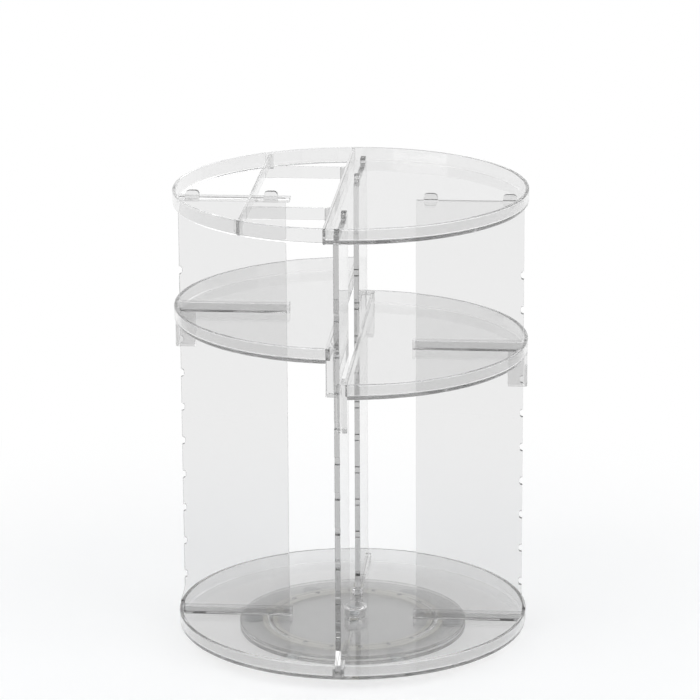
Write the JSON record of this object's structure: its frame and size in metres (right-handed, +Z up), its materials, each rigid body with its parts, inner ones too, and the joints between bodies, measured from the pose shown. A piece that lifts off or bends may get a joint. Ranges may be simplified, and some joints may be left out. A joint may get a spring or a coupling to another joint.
{
  "type": "rotating cosmetics tower",
  "caption": "Clear round make-up tower on a ball turntable: base tray, notched upright panels, two half trays that move up and down, and a top tray with a brush divider.",
  "frame": {"origin": "on the surface it stands on, under the turntable's centre", "axes": "+Z up along the turning axis, -Y the front as pictured, +X to the right, where the closed half of the top tray is"},
  "size_m": [0.23, 0.23, 0.303],
  "materials": {
    "clear_acrylic": "clear, moulded and glossy",
    "steel": "bright",
    "cage_plastic": "satin white nylon",
    "silicone": "soft translucent grey"
  },
  "bodies": {
    "stand": {"foot_plate": "clear_acrylic", "foot_pads": "silicone", "pivot_screw": "steel", "pivot_washer": "steel", "pivot_nut": "steel"},
    "ball_ring": {"ball_cage": "cage_plastic", "bearing_balls": "steel"},
    "carousel": {"race_disc": "clear_acrylic", "hub_bush": "cage_plastic", "nut_cap": "clear_acrylic", "base_tray": "clear_acrylic", "panel_front": "clear_acrylic", "panel_back": "clear_acrylic", "panel_left": "clear_acrylic", "panel_right": "clear_acrylic", "top_tray": "clear_acrylic"},
    "left_half_tray": {"left_tray": "clear_acrylic", "left_tray_sleeve": "clear_acrylic"},
    "right_half_tray": {"right_tray": "clear_acrylic", "right_tray_sleeve": "clear_acrylic"},
    "divider": {"brush_divider": "clear_acrylic"}
  },
  "joints": [
    {"name": "turntable_spin", "type": "hinge", "parent": "stand", "child": "carousel", "pos_m": [0, 0, 0.004], "axis": [0, 0, 1], "continuous": true},
    {"name": "ball_ring_spin", "type": "hinge", "parent": "stand", "child": "ball_ring", "pos_m": [0, 0, 0.004], "axis": [0, 0, 1], "continuous": true},
    {"name": "left_tray_height", "type": "slide", "parent": "carousel", "child": "left_half_tray", "axis": [0, 0, 1], "range_m": [-0.1624, 0.0464]},
    {"name": "right_tray_height", "type": "slide", "parent": "carousel", "child": "right_half_tray", "axis": [0, 0, 1], "range_m": [-0.1392, 0.0696]},
    {"name": "divider_lift", "type": "slide", "parent": "carousel", "child": "divider", "axis": [0, 0, 1], "range_m": [0, 0.03]}
  ],
  "couplings": [
    {"joint": "ball_ring_spin", "follows": "turntable_spin", "ratio": 0.5}
  ]
}
